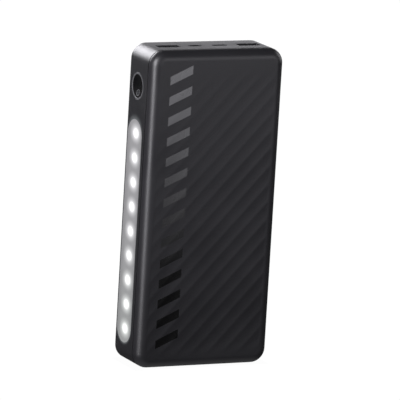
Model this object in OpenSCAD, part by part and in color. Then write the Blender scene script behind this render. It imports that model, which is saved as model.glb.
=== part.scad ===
// Power bank with a long work light down one side.
// It stands on its short end: +Z up, the ribbed front faces -Y, the light and the button face -X.
// The origin is the middle of the bottom end. Millimetres.

/* [Case] */
// Width of the case
body_w = 81.3; // [81:0.1:84]
// Depth of the case, front to back
body_d = 30; // [30:0.5:32]
// Height of the case, standing on end
body_h = 180; // [180:1:184]
// Outer corner radius, seen from the front
corner_r = 8.5; // [8:0.5:9.5]
// Radius of the front cover's rounded edge
shoulder_r = 5.5; // [4.5:0.1:5.5]
// Radius of the back edge
back_edge_r = 1.2; // [0.6:0.1:1.4]
// Wall thickness of the shells
wall = 2; // [1.8:0.1:2]

/* [Front ribs] */
// Distance between ribs, measured across them
rib_pitch = 7; // [5:0.5:10]
// Depth of the step between two ribs
rib_depth = 0.35; // [0.2:0.05:0.5]
// Plain border beside the ribbed field
rib_border = 6.2; // [6:0.2:12]

/* [Side light] */
// Width of the lens
lens_w = 18.4; // [15:0.1:18.4]
// Length of the lens
lens_len = 127; // [125:0.5:129]
// Height of the lens's lower end above the bottom
lens_z0 = 11.7; // [11:0.1:12.4]
// Thickness of the lens's window
lens_t = 1; // [0.8:0.1:1]
// Number of light chips
led_count = 9; // [5:1:9]
// Distance between light chips
led_pitch = 13.9; // [10:0.1:13.9]

/* [Button] */
// Outer radius of the ring round the button
ring_r = 7.7; // [7.4:0.1:7.7]
// Radius of the button's face
button_r = 6.5; // [6:0.1:6.5]
// Height of the button's centre above the bottom
button_z = 157.5; // [157:0.5:158]
// How far the button travels
button_travel = 0.5; // [0.3:0.1:0.5]

/* [Sockets] */
// Distance of the two large sockets from the middle
usb_a_x = 24.7; // [24.5:0.1:24.9]
// Place of the small socket, left of the middle
micro_x = -8.1; // [-8.4:0.1:-7.8]
// Place of the oval socket, right of the middle
usb_c_x = 6.8; // [6.6:0.1:7]

/* [Cells] */
// Number of cylindrical cells
cell_count = 6; // [3:1:6]
// Radius of a cell
cell_r = 10.6; // [9.2:0.1:10.6]
// Length of a cell
cell_len = 70; // [65:0.5:70]

/* [Hidden] */
$fn = 64;
eps = 0.01;                                // overlap that joins shapes of one piece
gap = 0.1;                                 // clearance beside a neighbouring piece
touch = 0.02;                              // clearance between two faces that rest on each other

front_y = -body_d / 2;
back_y = body_d / 2;
seam_y = front_y + 6.3;                    // front edge of the rear shell
seam_w = 0.7;                              // width of the groove at the seam
seam_depth = 1;
mid_z = body_h / 2;
side_x = -body_w / 2;                      // outer face on the light's side
inner_x = side_x + wall;
inner_back = back_y - wall;
lip_t = 1;                                 // front cover's lip inside the rear shell
lip_len = 2;
lip_in = wall + gap + lip_t;               // inner face of the front cover's rim and lip

side_y = inner_back - 9.2;                 // centre line of the light and the button
lens_half = lens_w / 2;
lens_zm = lens_z0 + lens_len / 2;
lens_wall = 1.2;
lens_flange = 1;
lamp_board_x = side_x + 2;                 // front face of the light's board
lamp_board_t = 1;
backplate_x = lamp_board_x + lamp_board_t + 0.05;
backplate_t = 1;
lamp_screw_z = [lens_z0 - 3.3, lens_z0 + lens_len + 3.3];
lamp_tab_r = 1.9;
led_z = [for (i = [0:led_count - 1]) lens_zm + (i - (led_count - 1) / 2) * led_pitch];
led_t = 0.7;
lamp_wire_z = lens_z0 + lens_len - 9;

board_w = 63;
board_y = 0.2;                             // front face of the main board
board_back = board_y + 1.6;
board_z0 = 143.6;
board_z1 = body_h - 4;
board_screw_at = [[-27, 148], [27, 148], [-14.6, body_h - 12], [14.8, body_h - 12]];

case_screw_at = [[-29, 6.2], [29, 6.2], [6 - body_w / 2, body_h - 6.2], [body_w / 2 - 6, body_h - 6.2]];
post_y = -1;                               // where the front and rear posts meet
well_r = 2.2;
well_y = inner_back - 4;                   // floor of the screw wells in the back

button_face = side_x + 0.2;
dish_r = 22;
dish_depth = 0.8;
ring_flange_r = 8.3;
button_flange_r = 7.4;
button_flange_x = inner_x + 0.9;
light_z = button_z - 3.8;                  // height of the small light in the button
plunger_tip = side_x + 6.25;
switch_x = side_x + 9.25;                  // face of the switch body

socket_y = (board_y + board_back) / 2;
socket_z = body_h - 0.6;                   // mouth of every socket shell, just under the top face
socket_a = [13.1, 5.6, 14];                // width, height and length of each socket's shell
socket_c = [8.94, 3.2, 7.8];
socket_m = [7.6, 2.8, 5.6];
shell_t = 0.35;
shell_back = 0.6;
tongue_a = [10.9, 1.84, 11.8];             // width, thickness and reach of each tongue
tongue_c = [6.5, 0.7, 6.2];
tongue_m = [4.6, 0.6, 4.2];
tongue_a_shift = 0.75;

cell_z0 = 10.6;
cell_x1 = body_w / 2 - lip_in - 0.95;      // right end of the cells
cell_x0 = cell_x1 - cell_len;
cell_step = 2 * cell_r + 0.3;
cell_z = [for (i = [0:cell_count - 1]) cell_z0 + (i + 0.5) * cell_step];
pack_top = cell_z0 + cell_count * cell_step;
holder_len = 4;
holder_y = cell_r + 0.9;
strip_w = 8;
strip_t = 0.3;
wire_r = 0.9;
wire_z = pack_top + 2.6;                   // height of the leads' run across the pack

label_size = [52, 30];
label_z = 30;

black = [0.09, 0.09, 0.1];
dark = [0.13, 0.13, 0.14];
milky = [0.86, 0.87, 0.87];
steel = [0.72, 0.73, 0.75];
gold = [0.85, 0.68, 0.3];

// A box between two corners.
module block(a, b) {
    translate(a) cube(b - a);
}

// A rounded rectangle about its own middle.
module round_rect(w, h, r) {
    square([w - 2 * r, h], center = true);
    square([w, h - 2 * r], center = true);
    for (x = [-1, 1], y = [-1, 1]) translate([x * (w / 2 - r), y * (h / 2 - r)]) circle(r);
}

// Stands a flat outline up in the XZ plane and gives it depth from y0 to y1.
module stand(y0, y1) {
    translate([0, y1, 0]) rotate([90, 0, 0]) linear_extrude(y1 - y0) children();
}

// A rounded plate from y0 to y1, inset from the outline of the case.
module plate(inset, y0, y1) {
    translate([0, 0, mid_z]) stand(y0, y1)
        round_rect(body_w - 2 * inset, body_h - 2 * inset, corner_r - inset);
}

// A cylinder along +X from x0 to x1.
module rod_x(r, x0, x1, y, z) {
    translate([x0, y, z]) rotate([0, 90, 0]) cylinder(r = r, h = x1 - x0);
}

// A cylinder along +Y from y0 to y1.
module rod_y(r, y0, y1, x, z) {
    translate([x, y0, z]) rotate([-90, 0, 0]) cylinder(r = r, h = y1 - y0);
}

// A bar with round ends, standing along Z on the light's centre line.
module side_bar(half_w, half_len, x0, x1) {
    translate([x0, side_y, lens_zm]) rotate([0, 90, 0]) linear_extrude(x1 - x0) {
        square([2 * (half_len - half_w), 2 * half_w], center = true);
        for (s = [-1, 1]) translate([s * (half_len - half_w), 0]) circle(half_w);
    }
}

// A lid: a rounded plate whose front edge is a quarter round of radius r.
module lid(inset, r, y_front, y_rear) {
    rc = corner_r - inset;
    depth = y_rear - y_front;
    core = [body_w - 2 * corner_r, body_h - 2 * corner_r];
    module edge_profile() {
        square([rc - r + eps, depth]);
        translate([rc - r, 0]) square([r, depth - r]);
        translate([rc - r, depth - r]) intersection() {
            circle(r);
            square(r);
        }
    }
    translate([0, y_rear, mid_z]) rotate([90, 0, 0]) {
        translate([-core[0] / 2 - eps, -core[1] / 2 - eps, 0]) cube([core[0] + 2 * eps, core[1] + 2 * eps, depth]);
        for (i = [0:3])
            translate([(i == 0 || i == 3 ? 1 : -1) * core[0] / 2, (i < 2 ? 1 : -1) * core[1] / 2, 0])
                rotate([0, 0, 90 * i]) rotate_extrude(angle = 90) edge_profile();
        for (turn = [0, 180]) rotate([0, 0, turn]) {
            translate([core[0] / 2, core[1] / 2, 0]) rotate([90, 0, 0]) linear_extrude(core[1]) edge_profile();
            translate([-core[0] / 2, core[1] / 2, 0]) rotate([90, 0, 90]) linear_extrude(core[0]) edge_profile();
        }
    }
}

// A screw along -Y: the underside of its head is at the origin.
module screw(r, head_r, len) {
    difference() {
        union() {
            rotate([-90, 0, 0]) cylinder(r = head_r, h = 1.3);
            rotate([90, 0, 0]) cylinder(r = r, h = len);
        }
        for (turn = [0, 90]) rotate([0, turn, 0])
            translate([0, 1.1, 0]) cube([head_r * 1.2, 0.9, 0.5], center = true);
    }
}

// A wire through a list of points: straight runs joined by quarter bends of radius bend.
module wire(points, r, bend) {
    last = len(points) - 1;
    for (i = [0:last - 1]) {
        run = points[i + 1] - points[i];
        way = run / norm(run);
        start = i == 0 ? 0 : bend;
        end = norm(run) - (i == last - 1 ? 0 : bend);
        translate(points[i] + start * way) rotate([0, acos(way[2]), atan2(way[1], way[0])])
            cylinder(r = r, h = end - start, $fn = 24);
    }
    for (i = [1:last - 1]) {
        into = (points[i] - points[i - 1]) / norm(points[i] - points[i - 1]);
        out = (points[i + 1] - points[i]) / norm(points[i + 1] - points[i]);
        up = cross(into, out);
        mid = points[i] + bend * (out - into);
        multmatrix([for (k = [0:2]) [-out[k], into[k], up[k], mid[k]]])
            rotate_extrude(angle = 90, $fn = 24) translate([bend, 0]) circle(r, $fn = 24);
    }
}

// The outline of a socket, c wider all round, from z0 to z1.
module socket_bar(x, size, c, z0, z1) {
    round_r = size[1] < 4 ? size[1] / 2 + c - eps : 0.6;
    translate([x, socket_y, z0]) linear_extrude(z1 - z0)
        round_rect(size[0] + 2 * c, size[1] + 2 * c, round_r);
}

// Stepped ribs rising from lower left to upper right, clipped to the ribbed field.
module rib_cut() {
    reach = body_w + body_h;
    rows = floor(reach / 2 / sqrt(2) / rib_pitch);
    intersection() {
        translate([-body_w / 2 + rib_border, front_y - 1, rib_border + 1])
            cube([body_w - 2 * rib_border, 2, body_h - 2 * rib_border - 6]);
        union() for (i = [-rows:rows])
            translate([0, front_y, mid_z]) rotate([0, -45, 0]) translate([0, 0, i * rib_pitch])
                rotate([0, 90, 0]) linear_extrude(reach, center = true)
                    polygon([[0, -0.03], [0, rib_depth], [rib_pitch * 0.94, -0.03]]);
    }
}

module front_cover() {
    color(black) difference() {
        union() {
            difference() {
                union() {
                    lid(0, shoulder_r, front_y, seam_y - seam_w);
                    plate(seam_depth, seam_y - seam_w - 1, seam_y - touch);
                    plate(wall + gap, seam_y - 1, seam_y + lip_len);
                }
                plate(lip_in, front_y + wall, seam_y + lip_len + 1);
                rib_cut();
            }
            for (p = case_screw_at) rod_y(2.5, front_y + wall - eps, post_y - touch, p[0], p[1]);
        }
        for (p = case_screw_at) rod_y(0.85, front_y + wall + 1, post_y + 1, p[0], p[1]);
    }
}

module rear_shell() {
    color(dark) difference() {
        union() {
            difference() {
                mirror([0, 1, 0]) lid(0, back_edge_r, -back_y, -seam_y);
                plate(wall, seam_y - 1, inner_back);
            }
            for (p = case_screw_at) rod_y(well_r + 1, post_y, inner_back + eps, p[0], p[1]);
            for (p = board_screw_at) rod_y(2.5, board_back + touch, inner_back + eps, p[0], p[1]);
            for (z = lamp_screw_z) rod_x(lamp_tab_r, inner_x - eps, backplate_x - touch, side_y, z);
        }
        for (p = case_screw_at) rod_y(well_r, well_y, back_y + 1, p[0], p[1]);
        for (p = case_screw_at) rod_y(1, post_y - 1, well_y + 1, p[0], p[1]);
        for (p = board_screw_at) rod_y(0.85, board_back - 1, board_back + 6, p[0], p[1]);
        for (z = lamp_screw_z) rod_x(0.7, side_x + 1, backplate_x + 1, side_y, z);
        for (s = [-1, 1]) socket_bar(s * usb_a_x, socket_a, 0.2, body_h - wall - 1, body_h + 1);
        socket_bar(usb_c_x, socket_c, 0.2, body_h - wall - 1, body_h + 1);
        socket_bar(micro_x, socket_m, 0.2, body_h - wall - 1, body_h + 1);
        side_bar(lens_half, lens_len / 2, side_x - 1, inner_x + gap);
        rod_x(ring_r + 0.05, side_x - 1, inner_x + 1, side_y, button_z);
        translate([0, 0, label_z]) stand(back_y - 0.2, back_y + 1)
            round_rect(label_size[0] + 0.2, label_size[1] + 0.2, 2.1);
    }
}

module rating_label() {
    color([0.16, 0.16, 0.17]) translate([0, 0, label_z]) stand(back_y - 0.19, back_y - 0.04)
        round_rect(label_size[0], label_size[1], 2);
}

module case_screws() {
    color(steel) for (p = case_screw_at)
        translate([p[0], well_y + touch, p[1]]) screw(0.8, 1.8, well_y - post_y + 6);
}

module screw_plugs() {
    color([0.06, 0.06, 0.06]) for (p = case_screw_at)
        rod_y(well_r - 0.05, back_y - 2.6, back_y - 0.1, p[0], p[1]);
}

// Keeps a piece of the light clear of the inside of the back wall.
module trim_at_back(x1) {
    intersection() {
        children();
        block([side_x - 1, -body_d, 0], [x1 + 1, inner_back - gap, body_h]);
    }
}

module lamp_lens() {
    color(milky) difference() {
        union() {
            side_bar(lens_half - touch, lens_len / 2 - touch, side_x, inner_x + touch + eps);
            trim_at_back(inner_x + 1)
                side_bar(lens_half + lens_flange, lens_len / 2 + lens_flange, inner_x + touch, backplate_x - touch);
        }
        side_bar(lens_half - lens_wall, lens_len / 2 - lens_wall, side_x + lens_t, backplate_x + 1);
    }
}

module lamp_reflector() {
    inset = lens_wall + gap;
    color("white") difference() {
        side_bar(lens_half - inset, lens_len / 2 - inset, side_x + lens_t + touch, lamp_board_x - touch);
        for (z = led_z) block([side_x, side_y - 3, z - 3], [lamp_board_x + 1, side_y + 3, z + 3]);
    }
}

module lamp_board() {
    inset = lens_wall + gap;
    color([0.9, 0.91, 0.9])
        side_bar(lens_half - inset, lens_len / 2 - inset, lamp_board_x, lamp_board_x + lamp_board_t);
}

module lamp_leds() {
    color([0.98, 0.93, 0.7]) for (z = led_z)
        block([lamp_board_x - touch - led_t, side_y - 1.75, z - 1.4], [lamp_board_x - touch, side_y + 1.75, z + 1.4]);
}

// Steel plate that clamps the light's board and lens against the side wall.
module lamp_backplate() {
    x1 = backplate_x + backplate_t;
    color(steel) difference() {
        union() {
            trim_at_back(x1) side_bar(lens_half + lens_flange, lens_len / 2 + lens_flange, backplate_x, x1);
            for (z = lamp_screw_z) {
                inward = z < mid_z ? 5 : -5;
                rod_x(lamp_tab_r, backplate_x, x1, side_y, z);
                block([backplate_x, side_y - lamp_tab_r, min(z, z + inward)],
                      [x1, side_y + lamp_tab_r, max(z, z + inward)]);
            }
        }
        for (z = lamp_screw_z) rod_x(1, backplate_x - 1, x1 + 1, side_y, z);
        block([backplate_x - 1, side_y + 3.2, lamp_wire_z - 2], [x1 + 1, side_y + 7.4, lamp_wire_z + 2]);
    }
}

module lamp_screws() {
    color(steel) for (z = lamp_screw_z)
        translate([backplate_x + backplate_t + touch, side_y, z]) rotate([0, 0, -90]) screw(0.65, 1.6, 2.5);
}

// Two wires from the light's board to the main board.
module lamp_wires() {
    x0 = lamp_board_x + lamp_board_t + touch;
    x1 = side_x + 5.2;
    color([0.85, 0.85, 0.85]) for (i = [0, 1]) {
        y = side_y + 4.3 + 2 * i;
        x_end = -23 + 2 * i;
        wire([[x0, y, lamp_wire_z], [x1, y, lamp_wire_z], [x1, y, board_z0 + 9], [x_end, y, board_z0 + 9],
              [x_end, board_back + touch, board_z0 + 9]], 0.55, 1.2);
    }
}

module button_ring() {
    color([0.3, 0.3, 0.31]) difference() {
        union() {
            rod_x(ring_r, side_x + touch, inner_x + touch, side_y, button_z);
            rod_x(ring_flange_r, inner_x + touch, button_flange_x - 0.05, side_y, button_z);
        }
        rod_x(button_r + gap, side_x - 1, inner_x + 2, side_y, button_z);
    }
}

// The hollow of the button's face.
module dish() {
    translate([button_face + dish_depth - dish_r, side_y, button_z]) sphere(r = dish_r, $fn = 128);
}

module power_button() {
    color(black) difference() {
        union() {
            rod_x(button_r, button_face, button_flange_x + eps, side_y, button_z);
            rod_x(button_flange_r, button_flange_x, button_flange_x + 0.8, side_y, button_z);
            rod_x(2, button_flange_x + 0.8 - eps, plunger_tip - touch, side_y, button_z);
        }
        dish();
        rod_x(0.9, side_x - 1, inner_x + 3, side_y, light_z);
    }
}

// Clear rod that carries the status light to the button's face.
module button_light() {
    color([0.9, 0.92, 0.93]) difference() {
        rod_x(0.88, button_face, plunger_tip, side_y, light_z);
        dish();
    }
}

module status_led() {
    color([0.95, 0.96, 0.9])
        block([switch_x, board_back + touch, light_z - 0.75], [switch_x + 1.6, side_y + 0.9, light_z + 0.7]);
}

module switch_body() {
    color([0.16, 0.16, 0.17]) difference() {
        block([switch_x, board_back + touch, button_z - 3], [switch_x + 5.8, side_y + 3, button_z + 3]);
        rod_x(1.8, switch_x - 1, switch_x + 1 + button_travel, side_y, button_z);
    }
}

module switch_plunger() {
    color([0.75, 0.73, 0.68]) rod_x(1.75, plunger_tip, switch_x + 0.8, side_y, button_z);
}

// Cut-out of the main board round one socket, open at the board's top edge.
module board_notch(x0, x1, size) {
    block([x0, board_y - 1, socket_z - size[2] - gap], [x1, board_back + 1, board_z1 + 1]);
}

module main_board() {
    color([0.05, 0.25, 0.15]) difference() {
        block([-board_w / 2, board_y, board_z0], [board_w / 2, board_back, board_z1]);
        board_notch(-board_w, -usb_a_x + socket_a[0] / 2 + gap, socket_a);
        board_notch(usb_a_x - socket_a[0] / 2 - gap, board_w, socket_a);
        board_notch(usb_c_x - socket_c[0] / 2 - gap, usb_c_x + socket_c[0] / 2 + gap, socket_c);
        board_notch(micro_x - socket_m[0] / 2 - gap, micro_x + socket_m[0] / 2 + gap, socket_m);
        for (p = board_screw_at) rod_y(1.1, board_y - 1, board_back + 1, p[0], p[1]);
    }
}

module board_screws() {
    color(steel) for (p = board_screw_at)
        translate([p[0], board_y - touch, p[1]]) rotate([0, 0, 180]) screw(0.8, 1.8, 6);
}

module inductors() {
    color([0.25, 0.25, 0.26]) for (x = [-12, 12])
        translate([x, 0, 153.5]) stand(board_back + touch, board_back + 6) round_rect(10, 10, 1.5);
}

module capacitors() {
    color([0.7, 0.72, 0.75]) for (p = [[0, 149.5], [0, 157], [22.5, 153], [22.5, 160]])
        rod_y(3.1, board_back + touch, board_back + 8, p[0], p[1]);
}

module power_chips() {
    color([0.06, 0.06, 0.07]) for (p = [[0, 165, 6], [9, 163, 4], [-9, 163, 4], [-21, 160, 4]])
        block([p[0] - p[2] / 2, board_back + touch, p[1] - p[2] / 2],
              [p[0] + p[2] / 2, board_back + 1, p[1] + p[2] / 2]);
}

// A socket's folded metal shell, open at its mouth, with a tab soldered to the board.
module socket_shell(x, size) {
    rear = socket_z - size[2];
    color(steel) difference() {
        union() {
            socket_bar(x, size, 0, rear, socket_z);
            block([x - size[0] / 2 + 1.6, board_back + touch, rear - 1.2],
                  [x + size[0] / 2 - 1.6, board_back + 0.35, rear + eps]);
        }
        socket_bar(x, size, -shell_t, rear + shell_back, socket_z + 1);
    }
}

// The insulating tongue inside a socket, standing on its own base.
module socket_tongue(x, size, tongue, shift) {
    z0 = socket_z - size[2] + shell_back + touch;
    base = [size[0] - 2 * shell_t - 1.4, size[1] - 2 * shell_t - 0.5];
    block([x - base[0] / 2, socket_y - base[1] / 2, z0], [x + base[0] / 2, socket_y + base[1] / 2, z0 + 1.5]);
    block([x - tongue[0] / 2, socket_y + shift - tongue[1] / 2, z0 + 1],
          [x + tongue[0] / 2, socket_y + shift + tongue[1] / 2, z0 + tongue[2]]);
}

// A row of contact strips on one face of a tongue.
module socket_contacts(x, size, tongue, count, pitch, w, face_y, out) {
    z0 = socket_z - size[2] + shell_back + touch;
    a = face_y + out * touch;
    b = face_y + out * 0.12;
    color(gold) for (i = [0:count - 1]) {
        xc = x + (i - (count - 1) / 2) * pitch;
        block([xc - w / 2, min(a, b), z0 + 2], [xc + w / 2, max(a, b), z0 + tongue[2] - 0.6]);
    }
}

module usb_a_shells() {
    for (s = [-1, 1]) socket_shell(s * usb_a_x, socket_a);
}

module usb_a_tongues() {
    color(black) for (s = [-1, 1]) socket_tongue(s * usb_a_x, socket_a, tongue_a, tongue_a_shift);
}

module usb_a_contacts() {
    for (s = [-1, 1])
        socket_contacts(s * usb_a_x, socket_a, tongue_a, 4, 2.3, 1, socket_y + tongue_a_shift - tongue_a[1] / 2, -1);
}

module usb_c_shell() {
    socket_shell(usb_c_x, socket_c);
}

module usb_c_tongue() {
    color(black) socket_tongue(usb_c_x, socket_c, tongue_c, 0);
}

module usb_c_contacts() {
    for (s = [-1, 1]) socket_contacts(usb_c_x, socket_c, tongue_c, 12, 0.5, 0.26, socket_y + s * tongue_c[1] / 2, s);
}

module micro_usb_shell() {
    socket_shell(micro_x, socket_m);
}

module micro_usb_tongue() {
    color(black) socket_tongue(micro_x, socket_m, tongue_m, 0);
}

module micro_usb_contacts() {
    socket_contacts(micro_x, socket_m, tongue_m, 5, 0.65, 0.36, socket_y - tongue_m[1] / 2, -1);
}

module battery_cells() {
    color([0.25, 0.45, 0.7]) for (z = cell_z) rod_x(cell_r, cell_x0, cell_x1, 0, z);
}

// A moulded end holder, drawn with its outer face on the x = 0 plane and the cells towards -X.
module cell_holder(end_t) {
    difference() {
        block([-holder_len - end_t, -holder_y, cell_z0 - 1], [0, holder_y, pack_top + 1]);
        for (z = cell_z) rod_x(cell_r + 0.03, -holder_len - end_t - 1, -end_t, 0, z);
        for (z = cell_z) rod_x(6.5, -end_t - 1, 1, 0, z);
        block([-end_t, -strip_w / 2 - 0.2, cell_z[0]], [1, strip_w / 2 + 0.2, pack_top + 2]);
    }
}

module cell_holder_right() {
    color(dark) translate([cell_x1 + 0.8, 0, 0]) cell_holder(0.78);
}

module cell_holder_left() {
    color(dark) mirror([1, 0, 0]) translate([0.6 - cell_x0, 0, 0]) cell_holder(0.58);
}

// A nickel strip across the cell ends, with a tail above the pack.
module cell_strip(x0) {
    color(steel) {
        block([x0, -strip_w / 2, cell_z[0] + 0.5], [x0 + strip_t, strip_w / 2, pack_top + 2.4]);
        for (z = cell_z) rod_x(5, x0, x0 + strip_t, 0, z);
    }
}

module positive_strip() {
    cell_strip(cell_x1 + touch);
}

module negative_strip() {
    cell_strip(cell_x0 - touch - strip_t);
}

// A lead from a strip's tail to the main board, beside x_tail, ending at x_end.
module battery_wire(x_tail, x_end) {
    wire([[x_tail, 0, pack_top + 1.2], [x_tail, 0, wire_z], [x_tail, 5, wire_z], [x_end, 5, wire_z],
          [x_end, 5, board_z0 + 2.4], [x_end, board_back + touch, board_z0 + 2.4]], wire_r, 1.1);
}

module battery_wire_red() {
    color("firebrick") battery_wire(cell_x1 - wire_r - 0.15, 20);
}

module battery_wire_black() {
    color(black) battery_wire(cell_x0 + wire_r + 0.15, -19);
}

module thermistor() {
    bead = [5, 7.4, cell_z[cell_count - 1] + sqrt(pow(cell_r + 1.15, 2) - pow(7.4, 2))];
    z1 = board_z0 + 2;
    color([0.15, 0.1, 0.08]) {
        rod_x(1.1, bead[0] - 1.6, bead[0] + 1.6, bead[1], bead[2]);
        wire([bead, [bead[0], bead[1], z1], [bead[0], board_back + touch, z1]], 0.4, 1.5);
    }
}

module insulation_card() {
    color([0.75, 0.68, 0.45]) block([cell_x0 + holder_len + 1, -holder_y, pack_top + 0.1],
                                    [cell_x1 - holder_len - 1, 5.8, pack_top + 0.4]);
}

module foam_pad(y0, y1) {
    color([0.2, 0.2, 0.2]) block([cell_x0 + holder_len + 1, y0, cell_z0 + 3],
                                 [cell_x1 - holder_len - 1, y1, pack_top - 3]);
}

module foam_pad_front() {
    foam_pad(front_y + wall + touch, -cell_r - touch);
}

module foam_pad_back() {
    foam_pad(cell_r + touch, inner_back - touch);
}

rear_shell();
front_cover();
rating_label();
case_screws();
screw_plugs();
lamp_lens();
lamp_reflector();
lamp_board();
lamp_leds();
lamp_backplate();
lamp_screws();
lamp_wires();
button_ring();
power_button();
button_light();
status_led();
switch_body();
switch_plunger();
main_board();
board_screws();
inductors();
capacitors();
power_chips();
usb_a_shells();
usb_a_tongues();
usb_a_contacts();
usb_c_shell();
usb_c_tongue();
usb_c_contacts();
micro_usb_shell();
micro_usb_tongue();
micro_usb_contacts();
battery_cells();
cell_holder_left();
cell_holder_right();
positive_strip();
negative_strip();
battery_wire_red();
battery_wire_black();
thermistor();
insulation_card();
foam_pad_front();
foam_pad_back();
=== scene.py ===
"""Looks of the power bank: materials for every CAD node, a finely ribbed front cover, light and camera."""
import math

import bmesh
import bpy
from mathutils import Matrix, Vector


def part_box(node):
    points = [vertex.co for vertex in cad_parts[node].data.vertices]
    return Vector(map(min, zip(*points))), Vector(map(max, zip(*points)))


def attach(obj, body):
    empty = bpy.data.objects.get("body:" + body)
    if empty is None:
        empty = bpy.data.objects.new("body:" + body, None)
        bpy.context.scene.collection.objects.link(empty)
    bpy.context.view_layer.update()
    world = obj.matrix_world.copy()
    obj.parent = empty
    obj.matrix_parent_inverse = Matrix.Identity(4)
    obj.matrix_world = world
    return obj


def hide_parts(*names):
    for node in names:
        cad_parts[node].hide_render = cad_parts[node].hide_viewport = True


MM = 0.001
TINY = 0.001 * MM
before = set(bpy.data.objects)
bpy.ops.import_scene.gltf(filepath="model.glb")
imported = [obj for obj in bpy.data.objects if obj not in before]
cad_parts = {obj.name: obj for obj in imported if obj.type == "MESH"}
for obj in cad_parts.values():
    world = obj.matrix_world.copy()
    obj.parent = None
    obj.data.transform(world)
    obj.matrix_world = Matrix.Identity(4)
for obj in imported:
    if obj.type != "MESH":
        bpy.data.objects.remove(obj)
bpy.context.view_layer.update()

# ---------------------------------------------------------------- sizes taken from the CAD nodes
shell_low, shell_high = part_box("rear_shell")
lens_low, lens_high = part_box("lamp_lens")
led_low, led_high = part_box("lamp_leds")
width = shell_high.x - shell_low.x
height = shell_high.z - shell_low.z
front_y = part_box("front_cover")[0].y
seam_y = shell_low.y
side_x = shell_low.x
mid_z = height / 2
led_mid_y = (led_low.y + led_high.y) / 2

# ---------------------------------------------------------------- front cover
CORNER_R = 8.5 * MM
SHOULDER_R = 5.5 * MM
SEAM_W = 0.7 * MM
SEAM_DEPTH = 1 * MM
WALL = 2 * MM
INSIDE_INSET = 3.1 * MM
RIM_GAP = 0.02 * MM
GRID_STEP = 0.36 * MM
SHOULDER_STEPS = 18
CORNER_STEPS = 14
COVER_CREASE = math.radians(32)

# Ribs: the spacing runs along a level line, the lean is the sideways run of a rib for each unit of height
RIB_SPACING = 9.68 * MM
RIB_LEAN = 0.944
RIB_START = 3.7 * MM
RIB_DEPTH = 0.165 * MM
CREST_SHARE = 0.2
RIB_BORDER = 4.7 * MM
BORDER_WAVE = 0.5 * MM
WAVE_CENTRE = 0.4
SIDE_FADE = 1.7 * MM
FOOT_FADE = 5.5 * MM, 14 * MM
HEAD_FADE = 8 * MM, 24 * MM
UPPER_LEFT_FADE = -0.1, 1.3

# Printed bars: each rises to the right, and the column runs from one spacing above the foot to fifteen
BAR_LEFT = -29.5 * MM
BAR_LENGTH = 13.5 * MM
BAR_RISE = 0.45
BAR_SPACING = 11.5 * MM
BAR_SHARE = 0.42
BAR_COLUMN = 1, 15

# ---------------------------------------------------------------- work light; its flange is inside the wall
LED_COUNT = 9
LED_LENGTH = 2.8 * MM
LENS_FLANGE = 1 * MM


# ---------------------------------------------------------------- small node-tree helpers
class Nodes:
    """Short names for building one node tree."""

    def __init__(self, tree):
        self.tree = tree

    def add(self, kind, inputs=(), **settings):
        node = self.tree.nodes.new(kind)
        for key, value in settings.items():
            setattr(node, key, value)
        for key, value in dict(inputs).items():
            self.put(node.inputs[key], value)
        return node

    def put(self, socket, value):
        if isinstance(value, bpy.types.NodeSocket):
            self.tree.links.new(value, socket)
        elif socket.type == "RGBA":
            socket.default_value = (*value, 1)
        else:
            socket.default_value = value

    def math(self, operation, a, b=0.0, c=0.0):
        return self.add("ShaderNodeMath", {0: a, 1: b, 2: c}, operation=operation).outputs[0]

    def away(self, value, centre):
        """Distance of value from centre."""
        return self.math("ABSOLUTE", self.math("SUBTRACT", value, centre))

    def diagonal(self, a, b):
        """Distance covered by a step of a one way and b at right angles to it."""
        return self.math("SQRT", self.math("ADD", self.math("MULTIPLY", a, a), self.math("MULTIPLY", b, b)))

    def between(self, value, low, high):
        """One where value lies between low and high, else zero."""
        above = self.math("GREATER_THAN", value, low)
        return self.math("MULTIPLY", above, self.math("LESS_THAN", value, high))

    def remap(self, value, low, high, to_low=0.0, to_high=1.0):
        """Takes low..high smoothly to to_low..to_high and holds the ends beyond."""
        inputs = {0: value, 1: low, 2: high, 3: to_low, 4: to_high}
        return self.add("ShaderNodeMapRange", inputs, interpolation_type="SMOOTHSTEP").outputs[0]

    def vary(self, noise, low, high):
        """Spreads a noise over low..high; its values lie mostly between 0.3 and 0.7."""
        return self.remap(noise, 0.3, 0.7, low, high)

    def mix(self, factor, a, b):
        return self.add("ShaderNodeMix", {0: factor, 6: a, 7: b}, data_type="RGBA").outputs[2]

    def position(self):
        """Object-space position, whole and as x, y, z, in metres."""
        coords = self.add("ShaderNodeTexCoord").outputs["Object"]
        return coords, self.add("ShaderNodeSeparateXYZ", {0: coords}).outputs

    def noise(self, vector, scale, detail=3.0, stretch=(1, 1, 1)):
        mapped = self.add("ShaderNodeMapping", {"Vector": vector, "Scale": stretch}).outputs[0]
        return self.add("ShaderNodeTexNoise", {"Vector": mapped, "Scale": scale, "Detail": detail}).outputs[0]

    def cells(self, vector, scale, randomness=1.0):
        inputs = {"Vector": vector, "Scale": scale, "Randomness": randomness}
        return self.add("ShaderNodeTexVoronoi", inputs).outputs["Distance"]


def new_material(name):
    mat = bpy.data.materials.new(name)
    mat.use_nodes = True
    mat.node_tree.nodes.clear()
    return mat, Nodes(mat.node_tree)


def finish_surface(n, inputs, bump, bump_depth, bump_strength=0.3):
    """Adds the principled shader with a bump height and links it to the output."""
    shader = n.add("ShaderNodeBsdfPrincipled", inputs)
    normal = n.add("ShaderNodeBump", {"Height": bump, "Distance": bump_depth, "Strength": bump_strength})
    n.put(shader.inputs["Normal"], normal.outputs[0])
    n.add("ShaderNodeOutputMaterial", {"Surface": shader.outputs[0]})


def scaled(color, factor):
    """The colour made lighter or darker, at most white."""
    return tuple(min(channel * factor, 1) for channel in color)


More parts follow.
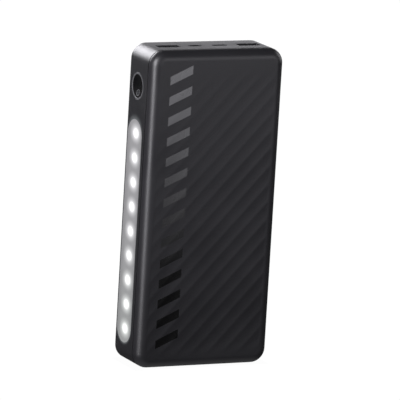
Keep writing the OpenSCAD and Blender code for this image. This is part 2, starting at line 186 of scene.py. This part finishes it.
# ---------------------------------------------------------------- general materials
def plastic(name, color, rough, grain=2600, grain_strength=0.25):
    """Moulded plastic: a fine spark-eroded grain, and slow drifts of tone and gloss."""
    mat, n = new_material(name)
    coords, _ = n.position()
    drift = n.noise(coords, 45)
    fine = n.noise(coords, grain, 2)
    tone = n.math("ADD", n.math("MULTIPLY", drift, 0.6), n.math("MULTIPLY", fine, 0.4))
    finish_surface(
        n,
        {
            "Base Color": n.mix(tone, scaled(color, 0.88), scaled(color, 1.12)),
            "Roughness": n.vary(drift, rough - 0.04, rough + 0.04),
        },
        fine,
        bump_depth=0.03 * MM,
        bump_strength=grain_strength,
    )
    return mat


def metal(name, color, rough, along=(1, 1, 12)):
    """Drawn metal: hairlines stretched along one axis, and cloudy gloss."""
    mat, n = new_material(name)
    coords, _ = n.position()
    lines = n.noise(coords, 5000, 2, tuple(1 / stretch for stretch in along))
    cloud = n.noise(coords, 160)
    finish_surface(
        n,
        {
            "Base Color": n.mix(lines, scaled(color, 0.82), scaled(color, 1.12)),
            "Metallic": 1.0,
            "Roughness": n.vary(cloud, rough - 0.06, rough + 0.08),
        },
        lines,
        bump_depth=0.01 * MM,
        bump_strength=0.25,
    )
    return mat


def soft_finish(n, coords, color, scale, rough, bump, bump_depth):
    """Speckled tone over a deep bump."""
    speck = n.noise(coords, scale * 0.4, 4)
    base = n.mix(speck, scaled(color, 0.7), scaled(color, 1.25))
    finish_surface(n, {"Base Color": base, "Roughness": rough}, bump, bump_depth, bump_strength=0.8)


def insulation_material():
    """Card of matted fibres that lie flat."""
    mat, n = new_material("insulation_card")
    coords, _ = n.position()
    scale = 900
    matting = n.noise(coords, scale, 4, (1, 1, 0.15))
    soft_finish(n, coords, (0.5, 0.42, 0.2), scale, 0.8, matting, 0.08 * MM)
    return mat


def foam_material():
    """Black foam with small closed cells."""
    mat, n = new_material("foam")
    coords, _ = n.position()
    scale = 1100
    soft_finish(n, coords, (0.03, 0.03, 0.03), scale, 0.9, n.cells(coords, scale), 0.1 * MM)
    return mat


def circuit_board(name, mask, trace):
    """Solder mask over copper: faint square-cornered traces and small round vias."""
    mat, n = new_material(name)
    coords, _ = n.position()
    bricks = {
        "Vector": coords,
        "Scale": 260.0,
        "Color1": (0, 0, 0),
        "Color2": (1, 1, 1),
        "Mortar": (0.5, 0.5, 0.5),
        "Mortar Size": 0.03,
    }
    tracks = n.add("ShaderNodeTexBrick", bricks).outputs["Color"]
    via = n.remap(n.cells(coords, 420.0, 0.7), 0.13, 0.16, 1.0, 0.0)
    base = n.mix(n.math("MULTIPLY", tracks, 0.35), mask, trace)
    finish_surface(
        n,
        {
            "Base Color": n.mix(via, base, (0.55, 0.42, 0.16)),
            "Roughness": n.remap(via, 0, 1, 0.3, 0.2),
        },
        via,
        bump_depth=0.03 * MM,
    )
    return mat


def clear_resin(name, color, glow):
    """Clear or tinted resin with a slight cloudiness."""
    mat, n = new_material(name)
    coords, _ = n.position()
    cloud = n.noise(coords, 900)
    finish_surface(
        n,
        {
            "Base Color": n.mix(cloud, scaled(color, 0.85), color),
            "Roughness": n.vary(cloud, 0.12, 0.25),
            "Transmission Weight": 0.35,
            "Emission Color": color,
            "Emission Strength": glow,
        },
        cloud,
        bump_depth=0.02 * MM,
    )
    return mat


# ---------------------------------------------------------------- the materials that show most
def lamp_lens_material():
    """Frosted lens, lit from behind by a row of chips seen a little below its surface."""
    chip_depth = 0.7 * MM
    least_outward = -0.3
    dy_scale = 0.8
    core_radii = 0.2 * MM, 4.1 * MM
    halo_radii = 1.2 * MM, 7 * MM
    edge_band = 4 * MM, 9 * MM
    even_glow, halo_glow, core_glow, edge_share = 0.205, 0.42, 0.85, 0.74
    mat, n = new_material("frosted_lens_lit")
    coords, xyz = n.position()
    view = n.add("ShaderNodeSeparateXYZ", {0: n.add("ShaderNodeNewGeometry").outputs["Incoming"]}).outputs
    outward = n.math("MINIMUM", view[0], least_outward)
    deep_y = n.math("MULTIPLY_ADD", n.math("DIVIDE", view[1], outward), chip_depth, xyz[1])
    deep_z = n.math("MULTIPLY_ADD", n.math("DIVIDE", view[2], outward), chip_depth, xyz[2])
    first = led_low.z + LED_LENGTH / 2
    pitch = (led_high.z - led_low.z - LED_LENGTH) / (LED_COUNT - 1)
    nearest = n.math("ROUND", n.math("DIVIDE", n.math("SUBTRACT", deep_z, first), pitch))
    nearest = n.math("MINIMUM", n.math("MAXIMUM", nearest, 0), LED_COUNT - 1)
    dz = n.math("SUBTRACT", deep_z, n.math("MULTIPLY_ADD", nearest, pitch, first))
    dy = n.math("MULTIPLY", n.math("SUBTRACT", deep_y, led_mid_y), dy_scale)
    radius = n.diagonal(dy, dz)
    core = n.remap(radius, *core_radii, 1.0, 0.0)
    halo = n.remap(radius, *halo_radii, 1.0, 0.0)
    edge = n.remap(n.away(xyz[1], (lens_low.y + lens_high.y) / 2), *edge_band, 1.0, edge_share)
    low_down = n.remap(xyz[2], lens_low.z, mid_z, 1.0, 0.0)
    speckle = n.noise(coords, 3200, 2)
    glow = n.math("MULTIPLY", n.math("MULTIPLY_ADD", halo, halo_glow, even_glow), edge)
    glow = n.math("MULTIPLY_ADD", core, core_glow, glow)
    tint = n.mix(low_down, (0.99, 0.98, 1.0), (0.96, 1.0, 0.96))
    finish_surface(
        n,
        {
            "Base Color": (0.09, 0.09, 0.092),
            "Roughness": 0.38,
            "Emission Color": n.mix(core, tint, (1.0, 1.0, 0.98)),
            "Emission Strength": n.math("MULTIPLY", glow, n.vary(speckle, 0.96, 1.04)),
        },
        speckle,
        bump_depth=0.02 * MM,
        bump_strength=0.2,
    )
    return mat


def finish_shell(n, coords, inputs):
    """The spark-eroded grain that both halves of the case share."""
    finish_surface(n, inputs, n.noise(coords, 2400, 2), bump_depth=0.025 * MM, bump_strength=0.22)


def front_cover_material():
    """Satin black cover with a printed column of slanted bars, black at the foot and grey at the top, and
    painted shade towards the foot and in the seam groove.
    """
    groove_margin = 0.05 * MM
    mat, n = new_material("front_cover_satin")
    coords, xyz = n.position()
    drift = n.noise(coords, 40)
    from_left = n.math("SUBTRACT", xyz[0], BAR_LEFT)
    bar = n.math("DIVIDE", n.math("MULTIPLY_ADD", from_left, -BAR_RISE, xyz[2]), BAR_SPACING)
    in_column = n.math("MULTIPLY", n.between(from_left, 0, BAR_LENGTH), n.between(bar, *BAR_COLUMN))
    ink = n.math("MULTIPLY", in_column, n.math("LESS_THAN", n.math("FRACT", bar), BAR_SHARE))
    upper = n.remap(xyz[2], 0.25 * height, 0.98 * height)
    ink_color = n.mix(upper, (0.002, 0.002, 0.002), (0.11, 0.11, 0.113))
    body = n.mix(drift, (0.0122, 0.012, 0.0136), (0.0169, 0.0165, 0.0187))
    # Painted shade: the cover's colour is darkened towards the foot
    painted_foot_shade = n.remap(xyz[2], 0, 0.55 * height, 0.45, 0)
    body = n.mix(painted_foot_shade, body, (0.006, 0.006, 0.0068))
    # Painted shade: the seam groove is coloured near black and its reflection is dimmed
    painted_groove_shade = n.math("GREATER_THAN", xyz[1], seam_y - SEAM_W - groove_margin)
    body = n.mix(painted_groove_shade, body, (0.001, 0.001, 0.001))
    finish_shell(
        n,
        coords,
        {
            "Base Color": n.mix(ink, body, ink_color),
            "Roughness": n.math("MULTIPLY_ADD", ink, -0.12, n.vary(drift, 0.35, 0.41)),
            "Specular IOR Level": n.math("MULTIPLY_ADD", painted_groove_shade, -0.45, 0.5),
        },
    )
    return mat


def rear_shell_material():
    """Satin shell, with the work light's spill painted as a glow on the side wall round the lens, widest
    above it.
    """
    reach_below, reach_above = 2 * MM, 4.5 * MM
    skin = 0.4 * MM
    mat, n = new_material("rear_shell_satin")
    coords, xyz = n.position()
    drift = n.noise(coords, 40)
    lens_half = (lens_high.y - lens_low.y) / 2 - LENS_FLANGE
    end_z = lens_high.z - lens_half - LENS_FLANGE
    start_z = lens_low.z + lens_half + LENS_FLANGE
    past_end = n.math("MAXIMUM", n.math("SUBTRACT", xyz[2], end_z), n.math("SUBTRACT", start_z, xyz[2]))
    from_axis = n.diagonal(n.math("SUBTRACT", xyz[1], led_mid_y), n.math("MAXIMUM", past_end, 0))
    reach = n.remap(xyz[2], end_z, lens_high.z, reach_below, reach_above)
    near = n.remap(n.math("DIVIDE", n.math("SUBTRACT", from_axis, lens_half), reach), 0, 1, 1.0, 0.0)
    on_side = n.math("LESS_THAN", xyz[0], side_x + skin)
    # Painted light: the shell glows round the lens as though lit by the work light
    painted_spill_glow = n.math("MULTIPLY", n.math("MULTIPLY", near, near), on_side)
    finish_shell(
        n,
        coords,
        {
            "Base Color": n.mix(drift, (0.0088, 0.0087, 0.0098), (0.0125, 0.0124, 0.0138)),
            "Roughness": n.vary(drift, 0.38, 0.44),
            "Emission Color": (0.9, 0.97, 1.0),
            "Emission Strength": n.math("MULTIPLY", painted_spill_glow, 0.1),
        },
    )
    return mat


def socket_shell_material():
    """Drawn steel, bright at the mouth and darkened further in by painted shade."""
    bright_from, bright_to = 2.2 * MM, 0.2 * MM
    mat, n = new_material("steel_socket")
    coords, xyz = n.position()
    mouth_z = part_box("usb_a_shells")[1].z
    at_mouth = n.remap(xyz[2], mouth_z - bright_from, mouth_z - bright_to)
    lines = n.noise(coords, 5000, 2, (1, 1, 0.1))
    # Painted shade: the steel is coloured darker away from the mouth, inside the socket
    painted_inner_shade = n.mix(lines, (0.02, 0.02, 0.021), (0.035, 0.035, 0.036))
    finish_surface(
        n,
        {
            "Base Color": n.mix(at_mouth, painted_inner_shade, (0.17, 0.17, 0.18)),
            "Metallic": 1.0,
            "Roughness": n.vary(lines, 0.24, 0.36),
        },
        lines,
        bump_depth=0.01 * MM,
    )
    return mat


def power_button_material():
    """Polished black button with a fine pale ring printed round its small light."""
    ring_r = 1.65 * MM
    ring_half_w = 0.25 * MM
    mat, n = new_material("button_gloss")
    coords, xyz = n.position()
    light_low, light_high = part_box("button_light")
    dy = n.math("SUBTRACT", xyz[1], (light_low.y + light_high.y) / 2)
    dz = n.math("SUBTRACT", xyz[2], (light_low.z + light_high.z) / 2)
    on_ring = n.math("LESS_THAN", n.away(n.diagonal(dy, dz), ring_r), ring_half_w)
    cloud = n.noise(coords, 300)
    body = n.mix(cloud, (0.002, 0.002, 0.002), (0.004, 0.004, 0.0044))
    finish_surface(
        n,
        {
            "Base Color": n.mix(on_ring, body, (0.09, 0.09, 0.093)),
            "Roughness": n.vary(cloud, 0.2, 0.26),
        },
        n.noise(coords, 2600, 2),
        bump_depth=0.01 * MM,
        bump_strength=0.05,
    )
    return mat


def cell_sleeve_material():
    """Shrink sleeve with a silver can showing at each end."""
    bare_end = 0.9 * MM
    mat, n = new_material("cell_sleeve_blue")
    coords, xyz = n.position()
    cells_low, cells_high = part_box("battery_cells")
    middle = (cells_low.x + cells_high.x) / 2
    sleeve_half = (cells_high.x - cells_low.x) / 2 - bare_end
    at_end = n.math("GREATER_THAN", n.away(xyz[0], middle), sleeve_half)
    wrinkle = n.noise(coords, 240, 4, (0.2, 1, 1))
    sleeve = n.mix(wrinkle, (0.02, 0.09, 0.27), (0.04, 0.15, 0.4))
    finish_surface(
        n,
        {
            "Base Color": n.mix(at_end, sleeve, (0.75, 0.76, 0.78)),
            "Metallic": at_end,
            "Roughness": n.vary(wrinkle, 0.22, 0.34),
        },
        wrinkle,
        bump_depth=0.05 * MM,
    )
    return mat


# ---------------------------------------------------------------- front cover: fine ribs and a round shoulder
def smooth(low, high, value):
    t = min(max((value - low) / (high - low), 0.0), 1.0)
    return t * t * (3 - 2 * t)


def scoop(along):
    """Depth across one rib spacing, 0 to 1: a wide scoop, then a narrow crest."""
    scoop_share = 1 - CREST_SHARE
    past_scoop = along - scoop_share
    if past_scoop < 0:
        arch = along - along ** 2 / scoop_share
    else:
        arch = past_scoop ** 2 / CREST_SHARE - past_scoop
    return CREST_SHARE + 4 * arch


def rib_depth(x, z):
    """How far the surface lies behind the flat front. Ribs fade at the border and to the upper left."""
    across = (x - RIB_START - RIB_LEAN * (z - mid_z)) / RIB_SPACING
    along = across - math.floor(across)
    border = RIB_BORDER + BORDER_WAVE * (2 * (along - WAVE_CENTRE)) ** 2
    side = smooth(border, border + SIDE_FADE, width / 2 - abs(x))
    ends = smooth(*FOOT_FADE, z) * smooth(*HEAD_FADE, height - z)
    lower_right = (x / width + 0.5) / 2 + (1 - z / height)
    return RIB_DEPTH * scoop(along) * side * ends * smooth(*UPPER_LEFT_FADE, lower_right)


def outline(inset, nx, nz):
    """Points of the rounded outline at this inset, anticlockwise seen from the front, bottom side first."""
    r = max(CORNER_R - inset, 0.0)
    cx, cz = width / 2 - CORNER_R, height / 2 - CORNER_R
    sides = [
        ((-cx, -cz - r), (cx, -cz - r), (cx, -cz), nx),
        ((cx + r, -cz), (cx + r, cz), (cx, cz), nz),
        ((cx, cz + r), (-cx, cz + r), (-cx, cz), nx),
        ((-cx - r, cz), (-cx - r, -cz), (-cx, -cz), nz),
    ]
    points = []
    for quarter, (start, end, centre, count) in enumerate(sides):
        for i in range(count):
            t = i / count
            points.append((start[0] * (1 - t) + end[0] * t, start[1] * (1 - t) + end[1] * t))
        for i in range(CORNER_STEPS):
            a = math.pi / 2 * (quarter - 1 + i / CORNER_STEPS)
            points.append((centre[0] + r * math.cos(a), centre[1] + r * math.sin(a)))
    return points


def cover_profile():
    """Inset and y of each ring of the cover, from its hollow inside over the groove to the flat front."""
    rim_y = seam_y - RIM_GAP
    groove_y = seam_y - SEAM_W
    shoulder_y = front_y + SHOULDER_R
    profile = [
        (INSIDE_INSET, front_y + WALL),
        (INSIDE_INSET, rim_y),
        (SEAM_DEPTH, rim_y),
        (SEAM_DEPTH, groove_y),
        (0.0, groove_y),
        (0.0, shoulder_y),
    ]
    for i in range(1, SHOULDER_STEPS + 1):
        a = math.pi / 2 * i / SHOULDER_STEPS
        profile.append((SHOULDER_R * (1 - math.cos(a)), shoulder_y - SHOULDER_R * math.sin(a)))
    flat_rings = round((CORNER_R - SHOULDER_R) / GRID_STEP)
    for i in range(1, flat_rings + 1):
        profile.append((SHOULDER_R + (CORNER_R - SHOULDER_R) * i / flat_rings, front_y))
    return profile


def smooth_faces(mesh):
    mesh.polygons.foreach_set("use_smooth", [True] * len(mesh.polygons))


def build_front_cover():
    """A closed shell: rings from the inside out to the corner centres, then a ribbed grid between those."""
    half_w, half_h = width / 2 - CORNER_R, height / 2 - CORNER_R
    nx = round(2 * half_w / GRID_STEP)
    nz = round(2 * half_h / GRID_STEP)
    bm = bmesh.new()

    def vertex(x, z_mid, y, on_face):
        depth = rib_depth(x, z_mid + mid_z) if on_face else 0.0
        return bm.verts.new((x, y + depth, z_mid + mid_z))

    rings = []
    for inset, y in cover_profile():
        on_face = inset >= SHOULDER_R - TINY and y < front_y + TINY
        rings.append([vertex(x, z, y, on_face) for x, z in outline(inset, nx, nz)])
    for ring, next_ring in zip(rings, rings[1:]):
        for i in range(len(ring)):
            j = (i + 1) % len(ring)
            bm.faces.new((ring[i], ring[j], next_ring[j], next_ring[i]))
    bm.faces.new(rings[0])
    grid = [
        [vertex(half_w * (2 * i / nx - 1), half_h * (2 * k / nz - 1), front_y, True) for i in range(nx + 1)]
        for k in range(nz + 1)
    ]
    for low_row, high_row in zip(grid, grid[1:]):
        for i in range(nx):
            bm.faces.new((low_row[i], low_row[i + 1], high_row[i + 1], high_row[i]))
    bmesh.ops.remove_doubles(bm, verts=bm.verts, dist=2 * TINY)
    bmesh.ops.recalc_face_normals(bm, faces=bm.faces)
    mesh = bpy.data.meshes.new("front_cover_ribbed")
    bm.to_mesh(mesh)
    bm.free()
    smooth_faces(mesh)
    mesh.set_sharp_from_angle(angle=COVER_CREASE)
    cover = bpy.data.objects.new("front_cover_ribbed", mesh)
    bpy.context.scene.collection.objects.link(cover)
    return cover


# ---------------------------------------------------------------- give every CAD node its look
black = plastic("black_satin", (0.022, 0.0224, 0.023), 0.42)
gloss = plastic("black_gloss", (0.012, 0.012, 0.0125), 0.16, grain_strength=0.03)
white = plastic("white_matt", (0.8, 0.8, 0.79), 0.6)
steel = metal("steel_drawn", (0.62, 0.63, 0.65), 0.24)
gold = metal("gold_plate", (0.86, 0.62, 0.25), 0.2)
socket_steel = socket_shell_material()
resin = clear_resin("led_resin", (1.0, 0.9, 0.6), 1.2)

# Every node that isn't listed is drawn steel
LOOKS = {
    "rear_shell": rear_shell_material(),
    "lamp_lens": lamp_lens_material(),
    "battery_cells": cell_sleeve_material(),
    "rating_label": plastic("label_film", (0.03, 0.03, 0.032), 0.3, grain=900, grain_strength=0.05),
    "screw_plugs": plastic("plug_rubber", (0.03, 0.03, 0.031), 0.75, grain=1500, grain_strength=0.4),
    "lamp_reflector": white,
    "usb_a_tongues": gloss,
    "switch_plunger": white,
    "lamp_board": circuit_board("board_white", (0.7, 0.72, 0.7), (0.8, 0.82, 0.8)),
    "main_board": circuit_board("board_green", (0.008, 0.09, 0.04), (0.02, 0.16, 0.07)),
    "lamp_leds": resin,
    "status_led": resin,
    "button_light": clear_resin("clear_rod", (0.05, 0.054, 0.057), 0.0),
    "button_ring": plastic("ring_satin", (0.075, 0.075, 0.078), 0.38),
    "power_button": power_button_material(),
    "switch_body": gloss,
    "power_chips": gloss,
    "usb_c_tongue": gloss,
    "micro_usb_tongue": gloss,
    "usb_a_shells": socket_steel,
    "usb_c_shell": socket_steel,
    "micro_usb_shell": socket_steel,
    "usb_a_contacts": gold,
    "usb_c_contacts": gold,
    "micro_usb_contacts": gold,
    "inductors": plastic("ferrite", (0.06, 0.06, 0.065), 0.55, grain=1200, grain_strength=0.5),
    "capacitors": metal("can_aluminium", (0.78, 0.79, 0.8), 0.2, (1, 1, 1)),
    "cell_holder_left": black,
    "cell_holder_right": black,
    "battery_wire_red": plastic("wire_red", (0.45, 0.02, 0.015), 0.35),
    "battery_wire_black": plastic("wire_black", (0.015, 0.015, 0.015), 0.35),
    "lamp_wires": plastic("wire_white", (0.75, 0.75, 0.74), 0.35),
    "thermistor": plastic("thermistor_bead", (0.03, 0.02, 0.015), 0.3),
    "insulation_card": insulation_material(),
    "foam_pad_front": foam_material(),
}
LOOKS["foam_pad_back"] = LOOKS["foam_pad_front"]

# Radius that softens the sharp edges of a node
EDGE_RADII = {
    "rear_shell": 0.25 * MM,
    "button_ring": 0.18 * MM,
    "power_button": 0.15 * MM,
    "lamp_lens": 0.08 * MM,
}
USUAL_EDGE_R = 0.06 * MM
SHARP_ANGLE = math.radians(35)

for name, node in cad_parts.items():
    node.data.materials.clear()
    node.data.materials.append(LOOKS.get(name, steel))
    if "custom_normal" in node.data.attributes:
        node.data.attributes.remove(node.data.attributes["custom_normal"])
    weld = node.modifiers.new("weld", "WELD")
    weld.merge_threshold = TINY
    bevel = node.modifiers.new("edges", "BEVEL")
    bevel.width = EDGE_RADII.get(name, USUAL_EDGE_R)
    bevel.segments = 2
    bevel.limit_method = "ANGLE"
    bevel.angle_limit = SHARP_ANGLE
    bevel.harden_normals = True
    smooth_faces(node.data)

cover = build_front_cover()
cover.data.materials.append(front_cover_material())
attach(cover, "case")
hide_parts("front_cover")

# ---------------------------------------------------------------- stage: floor, light, camera
SOFT_WHITE = (0.965, 0.955, 1)


def pale_floor():
    """White floor, seen by the camera only and only from above, with a trace of painted shadow at the foot of
    the object.
    """
    reach = 6.0
    floor_z = -0.02 * MM
    shade_reach = 3 * MM
    corners = [(x * reach, y * reach, floor_z) for x, y in ((-1, -1), (1, -1), (1, 1), (-1, 1))]
    mesh = bpy.data.meshes.new("floor")
    mesh.from_pydata(corners, [], [(0, 1, 2, 3)])
    floor = bpy.data.objects.new("floor", mesh)
    bpy.context.scene.collection.objects.link(floor)
    mat, n = new_material("floor_pale")
    _, xyz = n.position()
    out_x = n.math("MAXIMUM", n.math("SUBTRACT", n.math("ABSOLUTE", xyz[0]), width / 2), 0)
    out_y = n.math("MAXIMUM", n.math("SUBTRACT", n.math("ABSOLUTE", xyz[1]), -front_y), 0)
    # Painted shadow: the floor's glow is a trace darker close to the object
    painted_shadow_brightness = n.remap(n.diagonal(out_x, out_y), 0, shade_reach, 0.98, 1.02)
    glow = n.add("ShaderNodeEmission", {"Color": (1, 1, 1), "Strength": painted_shadow_brightness}).outputs[0]
    from_below = n.add("ShaderNodeNewGeometry").outputs["Backfacing"]
    clear = n.add("ShaderNodeBsdfTransparent").outputs[0]
    surface = n.add("ShaderNodeMixShader", {0: from_below, 1: glow, 2: clear}).outputs[0]
    n.add("ShaderNodeOutputMaterial", {"Surface": surface})
    mesh.materials.append(mat)
    for ray in ("visible_diffuse", "visible_glossy", "visible_transmission", "visible_shadow"):
        setattr(floor, ray, False)


def studio_world():
    """Plain white behind the object; what lights it is brightest a little above the horizon."""
    world = bpy.data.worlds.new("studio")
    bpy.context.scene.world = world
    world.use_nodes = True
    world.node_tree.nodes.clear()
    n = Nodes(world.node_tree)
    up = n.add("ShaderNodeSeparateXYZ", {0: n.add("ShaderNodeTexCoord").outputs["Generated"]}).outputs[2]
    seen = n.add("ShaderNodeLightPath").outputs["Is Camera Ray"]
    horizon = n.remap(up, -0.15, 0.2, 0.03, 0.34)
    ceiling = n.remap(up, 0.25, 0.6, 1.0, 0.15)
    from_floor = n.remap(up, -0.95, -0.5, 0.35, 0.0)
    strength = n.math("MULTIPLY_ADD", horizon, ceiling, from_floor)
    ambient = n.add("ShaderNodeBackground", {"Color": SOFT_WHITE, "Strength": strength}).outputs[0]
    plain = n.add("ShaderNodeBackground", {"Color": (1, 1, 1), "Strength": 1.0}).outputs[0]
    surface = n.add("ShaderNodeMixShader", {0: seen, 1: ambient, 2: plain}).outputs[0]
    n.add("ShaderNodeOutputWorld", {"Surface": surface})


def softbox(name, place, aim_z, size, power):
    """A rectangular light that the camera doesn't see, aimed at the object's axis at height aim_z."""
    data = bpy.data.lights.new(name, "AREA")
    data.shape = "RECTANGLE"
    data.size, data.size_y = size
    data.energy = power
    data.color = SOFT_WHITE
    light = bpy.data.objects.new(name, data)
    light.location = place
    light.rotation_euler = (Vector((0, 0, aim_z)) - Vector(place)).to_track_quat("-Z", "Y").to_euler()
    light.visible_camera = False
    bpy.context.scene.collection.objects.link(light)


def place_camera():
    """The camera stands about 2.8 m away, turned to the light's side, looking a little down."""
    yaw, pitch, roll = math.radians(25.8147), math.radians(11.4947), math.radians(3.3968)
    aside, ahead, above = -0.0011 * height, 15.532 * height, -0.0128 * height
    turn = Matrix.Rotation(roll, 3, "Y") @ Matrix.Rotation(pitch, 3, "X") @ Matrix.Rotation(yaw, 3, "Z")
    right, forward, up = turn
    place = Vector((0, 0, mid_z)) - right * aside - forward * ahead - up * above
    data = bpy.data.cameras.new("camera")
    data.lens = 450
    data.sensor_width = 36
    data.clip_end = 100
    camera = bpy.data.objects.new("camera", data)
    facing = Matrix((right, up, -forward)).transposed()
    camera.matrix_world = Matrix.Translation(place) @ facing.to_4x4()
    bpy.context.scene.collection.objects.link(camera)
    bpy.context.scene.camera = camera


pale_floor()
studio_world()
# Name, place, height aimed at, size, power
softbox("left_strip", (-1.02, -0.6, 0.42), 0.1, (0.52, 1.1), 28)
softbox("back_corner", (-0.29, 1.25, 0.7), 0.17, (0.8, 0.72), 20)
softbox("back_low", (0.75, 1.5, 0.35), 0.17, (1.2, 0.5), 2.2)
softbox("front_panel", (0.22, -0.46, 0.23), 0.14, (0.4, 0.3), 0.45)
softbox("right_fill", (1.2, 0.15, 0.5), 0.1, (0.6, 0.8), 3)
place_camera()
bpy.context.scene.view_settings.view_transform = "Standard"
